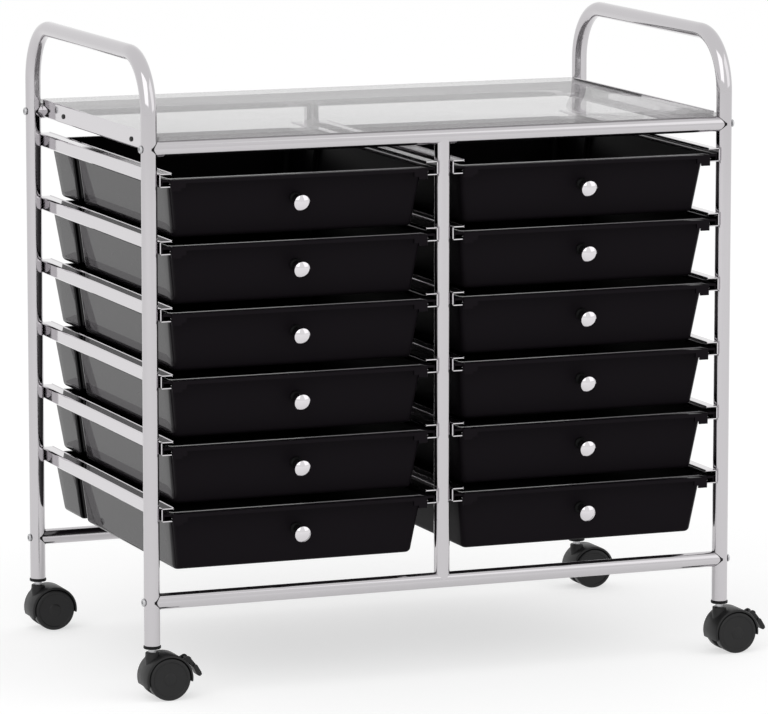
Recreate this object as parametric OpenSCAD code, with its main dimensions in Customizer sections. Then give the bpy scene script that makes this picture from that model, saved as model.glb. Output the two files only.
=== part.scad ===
/* [Cart] */
// Width over the two side frames
cart_w = 635; // [560:5:760]
// Depth over the legs, front to rear
cart_d = 385; // [330:5:460]
// Height of the handles above the floor
cart_h = 647; // [630:1:720]

/* [Tube frame] */
// Outside diameter of all the round tubes
tube_d = 16; // [14:0.5:19]
// Wall of the tubes
tube_wall = 1.2; // [0.8:0.1:2]
// Bend radius of the handles, to the middle of the tube
bend_r = 58; // [40:1:70]
// Height of the middle of the top bars
top_bar_z = 549; // [545:1:560]
// Height of the middle of the bottom bars
low_bar_z = 98; // [80:1:110]

/* [Joints of the tubes] */
// Thickness of the plastic saddle between a bar and a leg
saddle_t = 0.5; // [0.5:0.1:2]
// How far the saddle stands proud of the bar
saddle_lip = 0.1; // [0.1:0.1:1]
// Length of the plug inside the bar
plug_len = 16; // [10:1:30]
// Diameter of the frame bolts
bolt_d = 5; // [4:0.5:6]
// Diameter of the bolt heads
bolt_head_d = 8; // [7:0.5:10]
// Height of the bolt heads
bolt_head_h = 2.2; // [1.5:0.1:3]
// Size of the hexagon socket, across its corners
bolt_socket_d = 3.4; // [2:0.1:4]
// Depth of the hexagon socket
bolt_socket_depth = 1.3; // [0.5:0.1:1.4]

/* [Drawer rails] */
// Height of the top edge of the highest rails
rail_top_z = 525; // [508:1:530]
// Height from one row of rails to the next
row_pitch = 66.5; // [66:0.5:69]
// Height of a rail
rail_h = 13.7; // [12:0.1:16]
// Width of a rail's lips, web included
rail_lip = 12; // [10:0.5:14]
// Thickness of the rail's sheet
rail_t = 1; // [0.8:0.1:1.5]
// Height of the turned-up edge of the lower lip
rail_hook = 3; // [2:0.1:4]

/* [Top panel] */
// Thickness of the panel
panel_t = 4; // [3:0.5:6]
// How far the panel reaches past the middle of the bars
panel_over = 4; // [1:0.5:8]
// Height of the panel's side rails
panel_rail_h = 18; // [14:0.5:22]
// Width of the shelf of the side rails
panel_shelf = 12; // [8:1:20]
// Distance of the panel screws from the middle, along the side
panel_screw_y = 108; // [60:1:140]
// Diameter of the panel screws
panel_screw_d = 3; // [2:0.5:4]
// Diameter of the panel screws' heads
panel_head_d = 5.2; // [4.5:0.1:8]
// Height of the panel screws' heads
panel_head_h = 1.6; // [1:0.1:3]
// Length of a lug under the panel
lug_len = 14; // [8:1:20]
// Thickness of a lug
lug_t = 7; // [5:0.5:9]

/* [Drawer] */
// Height of a drawer
drawer_h = 60.3; // [50:0.1:64.4]
// Depth of the rim below the top of its rail
rim_drop = 6.3; // [3:0.1:7]
// Thickness of the walls and the floor
drawer_wall = 2; // [1.5:0.1:2.5]
// Thickness of the rim
rim_t = 2.2; // [1.5:0.1:3]
// How much each side leans in, over the height
side_lean = 8.2; // [4:0.1:14]
// How much the front leans in, over the height
front_lean = 10.2; // [4:0.1:16]
// How much the rear leans in, over the height
rear_lean = 10.4; // [4:0.1:14]
// Width of the rim over the front wall
front_rim = 13; // [12:0.1:22]
// How far the front rim stands before the ends of the rails
front_proud = 2.7; // [2.6:0.1:5]
// Thickness of the end plates of the front rim
end_plate_t = 2.3; // [1.5:0.1:2.3]
// Depth of the end plates, under the rim's top
end_plate_h = 8.3; // [6:0.1:9.5]
// Depth of the stop tabs, under the rim's top
tab_h = 11; // [10:0.1:16]
// Width of the stop tabs
tab_w = 9.8; // [6:0.1:12]
// How far the stop tabs overlap the ends of the rails' lips
tab_over = 0.5; // [0.5:0.1:4]
// Space between the tub and the turned-up edge of the lower lip
tub_gap = 0.5; // [0.4:0.1:3]
// Radius of the front corners
front_corner_r = 6; // [5:0.5:12]
// Radius of the rear corners
rear_corner_r = 8; // [5:0.5:12]
// Radius of the edge round the drawer's floor
floor_edge_r = 4; // [3:0.5:8]
// How far the rear wall reaches past the ends of the rails
rear_past = 0; // [0:0.5:6]
// Width of the rear rim
rear_rim = 2.5; // [1:0.5:5]
// Distance of the upright groove from the middle, to the rear
groove_y = 111; // [60:1:140]
// Width of the upright groove in each side
groove_w = 20; // [10:1:30]
// Depth of the groove
groove_depth = 5.5; // [3:0.5:8]

/* [Knob] */
// Diameter of the knob's cap
knob_d = 16.4; // [12:0.1:20]
// Reach of the knob from the drawer's front
knob_reach = 23.5; // [20:0.5:30]
// Depth of the cap
knob_cap_h = 8.2; // [7:0.1:9]
// How far the cap's face is domed
knob_dome_h = 3; // [1.5:0.1:6]
// Diameter of the neck
neck_d = 8; // [6:0.5:10]
// Diameter of the foot of the neck
foot_d = 12; // [10.5:0.5:15]
// Height of the foot
foot_h = 2.5; // [1:0.5:4]
// Distance of the knob below the rim's top
knob_drop = 25; // [20:0.5:32]
// Diameter of the knob's screw
knob_screw_d = 3.6; // [3:0.1:4]
// Diameter of the screw's head inside the drawer
knob_head_d = 7.5; // [6:0.5:9]
// Height of that head
knob_head_h = 2.2; // [1:0.1:3]

/* [Casters] */
// Diameter of the wheels
wheel_d = 42.8; // [38:0.2:50]
// Width of one wheel
wheel_w = 11.4; // [9:0.1:14]
// Space between the two wheels
wheel_gap = 11.2; // [11:0.1:14]
// Distance of the axle from the stem
trail = 13.5; // [10:0.5:14]
// Diameter of the axle
axle_d = 6; // [4:0.5:8]
// Running clearance of the axle and the stem, on the radius
fit_gap = 0.06; // [0.02:0.01:0.1]
// Space between a wheel and its hood
hood_gap = 0.9; // [0.6:0.1:1.5]
// Thickness of the hood
hood_t = 2.2; // [1.6:0.1:3]
// Diameter of the stem
stem_d = 8; // [6:0.5:8.5]
// Diameter of the neck around the stem
stem_neck_d = 14; // [13:0.5:16]
// Height of the neck above the axle
stem_neck_rise = 26.1; // [25.5:0.1:30]
// Length of the stem that shows
stem_show = 3.7; // [2:0.1:8]
// Thickness of the leg socket's flange
socket_flange_t = 3.2; // [2:0.1:5]
// How far the flange stands proud of the leg
socket_lip = 0.8; // [0.2:0.1:2]
// Depth of the leg socket in the tube
socket_depth = 35; // [25:1:50]

/* [Brakes] */
// Distance of the brake lever's pin from the axle
lever_pin_r = 27.7; // [27.7:0.1:29]
// Angle of that pin above the level
lever_pin_a = 38; // [36:1:44]
// Diameter of the pin
lever_pin_d = 3; // [2:0.1:3.2]
// Thickness of the lever
lever_t = 4.8; // [4:0.1:5]
// Width of the pedal
lever_w = 11; // [9:0.5:14]
// Reach of the pedal from the axle
lever_reach = 37; // [35:0.5:42]
// Width of each ear that holds the lever
ear_w = 2.5; // [2:0.1:4]

/* [Hidden] */
$fn = 96;

rows = 6;
both = [-1, 1];
eps = 0.01;
run_gap = 0.3;
side_gap = 0.7;
chrome = "gainsboro";
black = [0.08, 0.08, 0.09];
soft_black = [0.17, 0.17, 0.18];
steel = "silver";

// Tubes and legs
tube_r = tube_d / 2;
bore_r = tube_r - tube_wall;
leg_x = cart_w / 2 - tube_r;
leg_y = cart_d / 2 - tube_r;
wheel_r = wheel_d / 2;
neck_top_z = wheel_r + stem_neck_rise;
socket_z = neck_top_z + stem_show;
leg_z = socket_z + socket_flange_t;
handle_z = cart_h - tube_r;
bar_zs = [top_bar_z, low_bar_z];

// The box around the cart is set by the casters, whose wheels all trail to +X
hood_in_r = wheel_r + hood_gap;
hood_r = hood_in_r + hood_t;
box_left = trail - leg_x - hood_r;
box_right = leg_x + trail + lever_reach;
box_mid = (box_left + box_right) / 2;

// Columns of drawers, between a side frame and a centre post
column_x = leg_x / 2;
column_half = leg_x / 2 - tube_r;
rail_half_len = cart_d / 2;
lip_half = column_half - rail_lip;
web_half = column_half - rail_t;

// Panel
panel_z = top_bar_z + tube_r;
panel_top_z = panel_z + panel_t;
panel_half = leg_x - tube_r - rail_t;
panel_rail_z = panel_top_z - panel_rail_h;
panel_rail_half_len = leg_y - tube_r - saddle_lip;
lug_h = panel_z - panel_rail_z - rail_t;
screw_z = panel_rail_z + rail_t + lug_h / 2;

// Drawer, measured down from the top of its rim
runner_half = web_half - side_gap;
runner_h = rail_h - rail_t - run_gap - rim_drop;
runner_y0 = -rail_half_len + 1;
runner_y1 = rail_half_len - 2.5;
side_slope = side_lean / drawer_h;
tub_half = lip_half - tub_gap + side_slope * (rail_h - rail_hook - rim_drop);
front_y = -rail_half_len - front_proud;
wall_y0 = front_y + front_rim;
wall_y1 = rail_half_len + rear_past;
front_slope = front_lean / drawer_h;
rear_slope = rear_lean / drawer_h;
tab_half = lip_half + tab_over;

// Knob, square to the leaning front wall
knob_tilt = atan(front_slope);
knob_y = wall_y0 + front_slope * knob_drop;
knob_neck_h = knob_reach - knob_cap_h;
seat = 0.05;
head_z = -drawer_wall * cos(knob_tilt) - seat;
knob_bore_r = knob_screw_d / 2 + seat;
spigot_r = neck_d / 2 - 1;
spigot_top = knob_neck_h + 3;
screw_end = knob_neck_h - 3;
cap_edge = 0.8;
dome_r = (pow(knob_d / 2, 2) + pow(knob_dome_h, 2)) / (2 * knob_dome_h);
dome_from = acos(knob_d / 2 / dome_r);

// Caster
body_half = wheel_gap / 2 - 0.4;
wheel_out = wheel_gap / 2 + wheel_w;
hood_half = wheel_out - 0.5;
axle_half = wheel_out - 2.2;
stem_foot_z = wheel_r + 9;
bead_h = 1.8;
bead_r = stem_d / 2 + 0.85;
bead_z = wheel_r + hood_r - 2.6;
knuckle_r = lever_t / 2;
knuckle_half = lever_w / 2 - 1.3;
ear_in = knuckle_half + run_gap;
pin_at = lever_pin_r * [cos(lever_pin_a), sin(lever_pin_a)];
pedal_end = [lever_reach - lever_t / 2, 0.6];
pedal_mid = [pin_at[0] * 0.45 + pedal_end[0] * 0.55, pin_at[1] * 0.53 + pedal_end[1] * 0.47 + 0.2];

function rail_z(row) = rail_top_z - (row - 1) * row_pitch;
function rim_z(row) = rail_z(row) - rim_drop;

// Distance from a wall's top edge to the centre of a ball that touches the leaning wall and the floor
function ball_in(slope, depth, r) = slope * (depth - r) + r * sqrt(1 + slope * slope);

// Points of a quarter turn about a centre
function arc(cx, cy, r, from, to, steps = 6) =
    [for (i = [0:steps]) let (a = from + (to - from) * i / steps) [cx + r * cos(a), cy + r * sin(a)]];

module in_box() {
    translate([-box_mid, 0, 0]) children();
}

module along_x(x0, x1, y, z, r) {
    translate([x0, y, z]) rotate([0, 90, 0]) cylinder(r = r, h = x1 - x0);
}

module along_y(x, y0, y1, z, r) {
    translate([x, y0, z]) rotate([-90, 0, 0]) cylinder(r = r, h = y1 - y0);
}

module upright(x, y, z0, z1, r) {
    translate([x, y, z0]) cylinder(r = r, h = z1 - z0);
}

// A flat outline in X and Z, given its thickness along Y
module slab_y(y0, y1) {
    translate([0, y1, 0]) rotate([90, 0, 0]) linear_extrude(y1 - y0) children();
}

// Side frame: one tube bent into two legs and a handle
module frame_path(r, end) {
    bend_z = handle_z - bend_r;
    flat_y = leg_y - bend_r;
    for (side = both) {
        upright(0, side * leg_y, leg_z - end, bend_z, r);
    }
    translate([0, flat_y, bend_z]) rotate([90, 0, 90]) bend(r);
    mirror([0, 1, 0]) translate([0, flat_y, bend_z]) rotate([90, 0, 90]) bend(r);
    along_y(0, -flat_y, flat_y, handle_z, r);
}

module bend(r) {
    rotate_extrude(angle = 90) translate([bend_r, 0]) circle(r = r);
}

module side_frame(side) {
    color(chrome) in_box() translate([side * leg_x, 0, 0]) difference() {
        frame_path(tube_r, 0);
        frame_path(bore_r, eps);
        for (end = both, z = bar_zs) along_x(-tube_d, tube_d, end * leg_y, z, bolt_d / 2);
    }
}

// Bars: tubes coped to the round of the legs
module bar(y, z) {
    color(chrome) in_box() difference() {
        along_x(-leg_x, leg_x, y, z, tube_r);
        along_x(-leg_x - eps, leg_x + eps, y, z, bore_r);
        for (side = both) upright(side * leg_x, y, z - tube_d, z + tube_d, tube_r + saddle_t);
    }
}

module centre_post(y) {
    color(chrome) in_box() difference() {
        upright(0, y, low_bar_z, top_bar_z, tube_r);
        upright(0, y, low_bar_z - eps, top_bar_z + eps, bore_r);
        for (z = bar_zs) along_x(-tube_d, tube_d, y, z, tube_r);
    }
}

// Plastic ends of a bar: a thin saddle against the leg and a plug in the tube
module bar_end_cap() {
    difference() {
        union() {
            intersection() {
                along_x(-tube_d, 0, 0, 0, tube_r + saddle_lip);
                upright(0, 0, -tube_d, tube_d, tube_r + saddle_t);
            }
            along_x(-tube_r - plug_len, -tube_r / 2, 0, 0, bore_r);
        }
        upright(0, 0, -tube_d, tube_d, tube_r);
        along_x(-tube_d - plug_len, 0, 0, 0, bolt_d / 2);
    }
}

module bar_end_caps() {
    color(soft_black) in_box() for (side = both, end = both, z = bar_zs) {
        translate([side * leg_x, end * leg_y, z]) mirror([side < 0 ? 1 : 0, 0, 0]) bar_end_cap();
    }
}

module frame_bolt() {
    difference() {
        union() {
            along_x(-tube_r - plug_len + 2, tube_r + 0.5, 0, 0, bolt_d / 2);
            along_x(tube_r, tube_r + bolt_head_h, 0, 0, bolt_head_d / 2);
        }
        translate([tube_r + bolt_head_h - bolt_socket_depth, 0, 0]) rotate([0, 90, 0])
            cylinder(d = bolt_socket_d, h = bolt_socket_depth + 1, $fn = 6);
    }
}

module frame_bolts() {
    color(steel) in_box() for (side = both, end = both, z = bar_zs) {
        translate([side * leg_x, end * leg_y, z]) mirror([side < 0 ? 1 : 0, 0, 0]) frame_bolt();
    }
}

// Leg sockets: plastic inserts that hold the caster stems
module leg_sockets() {
    color(soft_black) in_box() for (side = both, end = both) {
        translate([side * leg_x, end * leg_y, 0]) difference() {
            union() {
                upright(0, 0, socket_z, leg_z, tube_r + socket_lip);
                upright(0, 0, socket_z, leg_z + socket_depth, bore_r);
            }
            upright(0, 0, socket_z - eps, leg_z + socket_depth + eps, stem_d / 2);
        }
    }
}

// Caster stems: fixed in the sockets, with a bead that holds the housing on
module caster_stems() {
    color(steel) in_box() for (side = both, end = both) {
        translate([side * leg_x, end * leg_y, 0]) {
            upright(0, 0, stem_foot_z + run_gap, leg_z + socket_depth - 1, stem_d / 2);
            upright(0, 0, bead_z, bead_z + bead_h, bead_r);
        }
    }
}

// Drawer rails: sheet channels, the lower lip turned up at its edge
module rail_outline() {
    polygon([
        [0, 0], [rail_lip, 0], [rail_lip, rail_hook], [rail_lip - rail_t, rail_hook],
        [rail_lip - rail_t, rail_t], [rail_t, rail_t], [rail_t, rail_h - rail_t],
        [rail_lip, rail_h - rail_t], [rail_lip, rail_h], [0, rail_h]
    ]);
}

module rails(column) {
    color(chrome) in_box() for (row = [1:rows], side = both) {
        translate([column * column_x + side * column_half, 0, rail_z(row) - rail_h])
            mirror([side > 0 ? 1 : 0, 0, 0])
            slab_y(-rail_half_len, rail_half_len) rail_outline();
    }
}

// Side rails of the panel: angles between the bars, the shelf at the bottom
module panel_rail(side) {
    color(chrome) in_box() mirror([side > 0 ? 1 : 0, 0, 0]) translate([-leg_x + tube_r, 0, 0]) difference() {
        slab_y(-panel_rail_half_len, panel_rail_half_len) polygon([
            [0, panel_rail_z], [panel_shelf, panel_rail_z], [panel_shelf, panel_rail_z + rail_t],
            [rail_t, panel_rail_z + rail_t], [rail_t, panel_top_z], [0, panel_top_z]
        ]);
        for (end = both) along_x(-1, rail_t + 1, end * panel_screw_y, screw_z, panel_screw_d / 2);
    }
}

module top_panel() {
    color([0.9, 0.92, 0.93, 0.5]) in_box() difference() {
        union() {
            translate([-panel_half, -leg_y - panel_over, panel_z])
                cube([2 * panel_half, 2 * (leg_y + panel_over), panel_t]);
            for (side = both, end = both) {
                translate([side * (panel_half - lug_t / 2), end * panel_screw_y, panel_z - lug_h / 2])
                    cube([lug_t, lug_len, lug_h], center = true);
            }
        }
        for (side = both, end = both) mirror([side < 0 ? 1 : 0, 0, 0]) {
            along_x(panel_half - lug_t + 1, panel_half + 1, end * panel_screw_y, screw_z, panel_screw_d / 2);
        }
    }
}

module panel_screws() {
    color(black) in_box() for (side = both, end = both) {
        mirror([side > 0 ? 1 : 0, 0, 0]) translate([-panel_half - rail_t, end * panel_screw_y, screw_z]) {
            along_x(-panel_head_h, 0, 0, 0, panel_head_d / 2);
            along_x(-panel_head_h / 2, rail_t + lug_t - 1.5, 0, 0, panel_screw_d / 2);
        }
    }
}

// Tub of a drawer: a closed form with leaning sides, shrunk by the wall for the inside
module tub(shrink, depth) {
    front_r = front_corner_r - shrink;
    rear_r = rear_corner_r - shrink;
    ball = floor_edge_r - shrink;
    half = tub_half - shrink;
    y0 = wall_y0 + shrink;
    y1 = wall_y1 - shrink;
    hull($fn = 24) {
        for (side = both) {
            translate([side * (half - front_r), y0 + front_r, -eps]) cylinder(r = front_r, h = eps);
            translate([side * (half - rear_r), y1 - rear_r, -eps]) cylinder(r = rear_r, h = eps);
            translate([
                side * (half - ball_in(side_slope, depth, ball)),
                y0 + ball_in(front_slope, depth, ball), ball - depth
            ]) sphere(r = ball);
            translate([
                side * (half - ball_in(side_slope, depth, ball)),
                y1 - ball_in(rear_slope, depth, ball), ball - depth
            ]) sphere(r = ball);
        }
    }
}

// Upright groove in both sides of a drawer, grown by the wall for the inside
module side_grooves(grow) {
    in_top = tub_half - groove_depth - grow;
    low = drawer_h + 1;
    for (side = both) {
        mirror([side < 0 ? 1 : 0, 0, 0])
        slab_y(groove_y - groove_w / 2 - grow, groove_y + groove_w / 2 + grow) polygon([
            [in_top, -rim_t + grow * 2], [tub_half + 1, -rim_t + grow * 2],
            [tub_half + 1, -low], [in_top - side_slope * low, -low]
        ]);
    }
}

module rim_plate(x, y0, y1, r) {
    translate([0, 0, -rim_t]) linear_extrude(rim_t) {
        translate([-x, y0]) square([2 * x, y1 - y0 - r]);
        translate([r - x, y1 - r - eps]) square([2 * (x - r), r + eps]);
        for (side = both) translate([side * (x - r), y1 - r]) circle(r = r);
    }
}

module drawer_rim() {
    rim_plate(runner_half, runner_y0, runner_y1, 3);
    rim_plate(tab_half, front_y, wall_y1 + rear_rim, rear_corner_r);
    translate([-tab_half, front_y, -rim_t - 1.4]) cube([2 * tab_half, end_plate_t, rim_t + 1.4]);
    for (side = both) mirror([side < 0 ? 1 : 0, 0, 0]) {
        translate([runner_half - 2, runner_y0, -runner_h])
            cube([2, runner_y1 - runner_y0 - 3, runner_h]);
        translate([tab_half - tab_w - 5, front_y, -end_plate_h]) cube([tab_w + 5, end_plate_t, end_plate_h]);
        translate([tab_half - tab_w, front_y, -tab_h]) cube([tab_w, end_plate_t, tab_h]);
    }
}

module at_knob() {
    translate([0, knob_y, -knob_drop]) rotate([90 + knob_tilt, 0, 0]) children();
}

module drawer(column, row) {
    color(black) in_box() translate([column * column_x, 0, rim_z(row)]) difference() {
        union() {
            difference() {
                tub(0, drawer_h);
                side_grooves(0);
            }
            drawer_rim();
        }
        difference() {
            translate([0, 0, eps]) tub(drawer_wall, drawer_h - drawer_wall);
            side_grooves(drawer_wall);
        }
        at_knob() translate([0, 0, -10]) cylinder(r = knob_bore_r, h = 20);
    }
}

// Knob: chrome cap, black neck with a foot, and the screw from inside the drawer
module knob(column, row) {
    in_box() translate([column * column_x, 0, rim_z(row)]) at_knob() {
        color(chrome) knob_cap();
        color(black) knob_neck();
        color(steel) knob_screw();
    }
}

module knob_cap() {
    rotate_extrude() polygon(concat(
        [[0, spigot_top + seat], [spigot_r + seat, spigot_top + seat], [spigot_r + seat, knob_neck_h + seat]],
        arc(knob_d / 2 - cap_edge, knob_neck_h + seat + cap_edge, cap_edge, -90, 0, 2),
        arc(0, knob_reach - dome_r, dome_r, dome_from, 80),
        [[0, knob_reach]]
    ));
}

module knob_neck() {
    rotate_extrude() polygon([
        [knob_bore_r, 0], [foot_d / 2, 0], [foot_d / 2, foot_h], [neck_d / 2, foot_h],
        [neck_d / 2, knob_neck_h], [spigot_r, knob_neck_h], [spigot_r, spigot_top],
        [0, spigot_top], [0, screw_end + seat], [knob_bore_r, screw_end + seat]
    ]);
}

module knob_screw() {
    rotate_extrude() polygon([
        [0, head_z - knob_head_h], [knob_head_d / 2, head_z - knob_head_h],
        [knob_head_d / 2, head_z], [knob_screw_d / 2, head_z],
        [knob_screw_d / 2, screw_end], [0, screw_end]
    ]);
}

// Casters, drawn about the axle, with the stem at -trail
module at_caster(side, end) {
    in_box() translate([side * leg_x + trail, end * leg_y, wheel_r]) children();
}

module hood_cut() {
    polygon([
        [0, 0], [60 * cos(-8), 60 * sin(-8)], [60, -60], [-60, -60], [60 * cos(198), 60 * sin(198)]
    ]);
}

module caster_housing(side, end) {
    neck_rise = neck_top_z - wheel_r;
    color(soft_black) at_caster(side, end) difference() {
        union() {
            slab_y(-hood_half, hood_half) difference() {
                circle(r = hood_r);
                circle(r = hood_in_r);
                hood_cut();
            }
            slab_y(-body_half, body_half) {
                difference() {
                    circle(r = hood_r - 0.5);
                    hood_cut();
                }
                circle(r = axle_d / 2 + 3.5);
            }
            difference() {
                upright(-trail, 0, 0, neck_rise, stem_neck_d / 2);
                along_y(0, -hood_half, hood_half, 0, hood_in_r);
            }
            if (end < 0) lever_ears();
        }
        upright(-trail, 0, stem_foot_z - wheel_r, neck_rise + 1, stem_d / 2 + fit_gap);
        upright(-trail, 0, bead_z - wheel_r - run_gap, bead_z - wheel_r + bead_h + run_gap, bead_r + 0.2);
        along_y(0, -body_half - 1, body_half + 1, 0, axle_d / 2);
        if (end < 0) along_y(pin_at[0], -lever_w - 9, lever_w + 9, pin_at[1], lever_pin_d / 2 + fit_gap);
    }
}

module lever_ears() {
    for (y = both) {
        slab_y(y * (ear_in + ear_w / 2) - ear_w / 2, y * (ear_in + ear_w / 2) + ear_w / 2) difference() {
            translate(pin_at) circle(r = lever_pin_r - hood_r + 0.4);
            circle(r = hood_r - 0.5);
        }
    }
}

module caster_axle(side, end) {
    color(steel) at_caster(side, end) along_y(0, -axle_half, axle_half, 0, axle_d / 2);
}

// A wheel: turned profile, closed on its outer face
module wheel(side, end, out) {
    inner = wheel_gap / 2;
    face = wheel_out - 0.5;
    hub = axle_d / 2 + fit_gap;
    color(soft_black) at_caster(side, end) rotate([-90 * out, 0, 0]) rotate_extrude() polygon(concat(
        [[hub, inner], [wheel_r - 0.8, inner], [wheel_r, inner + 0.8]],
        arc(wheel_r - 2.2, wheel_out - 2.2, 2.2, 0, 90),
        [[wheel_r - 4.2, wheel_out], [wheel_r - 4.8, face], [0, face],
         [0, axle_half + run_gap], [hub, axle_half + run_gap]]
    ));
}

// Brake lever: a pedal on two short pins
function round_bar(from, to, r) = let (a = atan2(to[1] - from[1], to[0] - from[0]))
    concat(arc(from[0], from[1], r, a + 90, a + 270), arc(to[0], to[1], r, a - 90, a + 90));

module brake_lever(side) {
    color(soft_black) at_caster(side, -1) {
        slab_y(-knuckle_half, knuckle_half) polygon(round_bar(pin_at, pedal_mid, knuckle_r));
        slab_y(-lever_w / 2, lever_w / 2) polygon(round_bar(pedal_mid, pedal_end, knuckle_r - 0.1));
        along_y(pin_at[0], -ear_in - ear_w, ear_in + ear_w, pin_at[1], lever_pin_d / 2);
    }
}

side_frame(-1);  // side_frame_left
side_frame(1);  // side_frame_right
bar(-leg_y, top_bar_z);  // top_bar_front
bar(leg_y, top_bar_z);  // top_bar_rear
bar(-leg_y, low_bar_z);  // bottom_bar_front
bar(leg_y, low_bar_z);  // bottom_bar_rear
centre_post(-leg_y);  // centre_post_front
centre_post(leg_y);  // centre_post_rear
bar_end_caps();
frame_bolts();
leg_sockets();
caster_stems();
rails(-1);  // rails_left_column
rails(1);  // rails_right_column
panel_rail(-1);  // panel_rail_left
panel_rail(1);  // panel_rail_right
top_panel();
panel_screws();
for (row = [1:rows]) {
    drawer(-1, row);
    drawer(1, row);
    knob(-1, row);
    knob(1, row);
}
for (side = both, end = both) {
    corner = str(end < 0 ? "front_" : "rear_", side < 0 ? "left" : "right");
    caster_housing(side, end);
    caster_axle(side, end);
    wheel(side, end, -1);
    wheel(side, end, 1);
}
brake_lever(-1);  // brake_lever_left
brake_lever(1);  // brake_lever_right
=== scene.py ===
"""Rolling drawer cart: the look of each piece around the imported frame, a pale studio and the camera."""
import math

import bmesh
import bpy
from mathutils import Matrix, Vector

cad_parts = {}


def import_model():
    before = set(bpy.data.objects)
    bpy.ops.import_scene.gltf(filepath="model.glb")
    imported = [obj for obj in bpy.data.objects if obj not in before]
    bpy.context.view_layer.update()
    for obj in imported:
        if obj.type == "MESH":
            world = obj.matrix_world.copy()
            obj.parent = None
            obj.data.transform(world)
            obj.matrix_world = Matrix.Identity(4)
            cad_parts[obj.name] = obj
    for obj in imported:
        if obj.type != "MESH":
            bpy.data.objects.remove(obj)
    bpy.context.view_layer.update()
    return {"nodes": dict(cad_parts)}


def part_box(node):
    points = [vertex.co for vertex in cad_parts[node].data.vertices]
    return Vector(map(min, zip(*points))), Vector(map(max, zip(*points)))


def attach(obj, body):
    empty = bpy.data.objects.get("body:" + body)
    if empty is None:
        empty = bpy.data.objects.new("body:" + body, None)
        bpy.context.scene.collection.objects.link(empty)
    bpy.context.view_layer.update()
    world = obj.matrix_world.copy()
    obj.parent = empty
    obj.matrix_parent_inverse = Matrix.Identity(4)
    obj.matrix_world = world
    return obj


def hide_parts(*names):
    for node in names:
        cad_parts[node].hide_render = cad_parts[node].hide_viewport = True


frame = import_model()
MM = 0.001
SHARP_FROM = 35
SIDES = (-1, 1)
SIDE_NAMES = {-1: "left", 1: "right"}
END_NAMES = {-1: "front", 1: "rear"}

# Sizes and places of the tube frame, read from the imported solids
FRAME_LO, FRAME_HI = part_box("side_frame_left")
TUBE_R = (FRAME_HI.x - FRAME_LO.x) / 2
TUBE_WALL = 1.2 * MM
LEG_X = {s: sum(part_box("side_frame_" + SIDE_NAMES[s])[i].x for i in (0, 1)) / 2 for s in SIDES}
LEG_Y = FRAME_HI.y - TUBE_R
LEG_END = FRAME_LO.z
HANDLE_Z = FRAME_HI.z - TUBE_R
BEND_R = 58 * MM
MID_X = (LEG_X[-1] + LEG_X[1]) / 2
TOP_BAR_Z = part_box("top_bar_front")[0].z + TUBE_R
LOW_BAR_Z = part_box("bottom_bar_front")[0].z + TUBE_R
SADDLE = 0.5 * MM

# Rails, panel and drawers
ROWS = 6
RAIL_LO, RAIL_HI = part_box("rails_left_column")
RAIL_H = 13.7 * MM
RAIL_LIP = 12 * MM
RAIL_HOOK = 3 * MM
SHEET_T = 1 * MM
ROW_PITCH = (RAIL_HI.z - RAIL_LO.z - RAIL_H) / (ROWS - 1)
PANEL_LO, PANEL_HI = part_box("top_panel")
PANEL_T = PANEL_HI.z - TOP_BAR_Z - TUBE_R
SCREW_Y = 108 * MM
DRAWER_LO, DRAWER_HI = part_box("drawer_left_1")
RUNNER_HALF = (DRAWER_HI.x - DRAWER_LO.x) / 2
DRAWER_H = DRAWER_HI.z - DRAWER_LO.z
WALL = 2 * MM
RIM_T = 2.2 * MM
SKIRT = 6.1 * MM
RIM_HALF = 135.25 * MM
TUB_HALF = 134.85 * MM
TUB_FRONT = DRAWER_LO.y + 13 * MM
TUB_REAR = DRAWER_HI.y - 2.5 * MM
SIDE_LEAN, FRONT_LEAN, REAR_LEAN = 8.2 * MM, 10.2 * MM, 10.4 * MM
KNOB_DROP = 25 * MM
KNOB_TILT = math.atan(FRONT_LEAN / DRAWER_H)
KNOB_REACH = 23.5 * MM
# Coat weights of a painted sheen on the drawers: on the rim tops, and on the outer and rear walls as they
# turn outward.
RIM_PAINTED_SHEEN, WALL_PAINTED_SHEEN = 0.35, 0.59

# Casters
WHEEL_LO, WHEEL_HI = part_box("wheel_a_front_left")
WHEEL_R = (WHEEL_HI.z - WHEEL_LO.z) / 2
TRAIL = (WHEEL_LO.x + WHEEL_HI.x) / 2 - LEG_X[-1]
WHEEL_W = WHEEL_HI.y - WHEEL_LO.y
WHEEL_OUT = -LEG_Y - WHEEL_LO.y
WHEEL_IN = WHEEL_OUT - WHEEL_W
HOOD_IN, HOOD_R = WHEEL_R + 0.9 * MM, WHEEL_R + 3.1 * MM


class Wire:
    """A socket that can be used in sums, which add their own Math nodes."""

    def __init__(self, graph, socket):
        self.graph = graph
        self.socket = socket

    def calc(self, operation, *values):
        return self.graph.node("ShaderNodeMath", {"operation": operation}, dict(enumerate(values)))

    def __add__(self, other):
        return self.calc("ADD", self, other)

    def __radd__(self, other):
        return self.calc("ADD", other, self)

    def __mul__(self, other):
        return self.calc("MULTIPLY", self, other)

    def __rmul__(self, other):
        return self.calc("MULTIPLY", other, self)

    def __pow__(self, other):
        return self.calc("POWER", self, other)


class Graph:
    """A node tree that is filled one node at a time."""

    def __init__(self, tree):
        self.tree = tree

    def node(self, kind, settings=None, sockets=None, out=0):
        made = self.tree.nodes.new(kind)
        for key, value in (settings or {}).items():
            setattr(made, key, value)
        for key, value in (sockets or {}).items():
            self.put(value, made.inputs[key])
        return Wire(self, made.outputs[out])

    def put(self, value, socket):
        if isinstance(value, Wire):
            self.tree.links.new(value.socket, socket)
        else:
            socket.default_value = value


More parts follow.
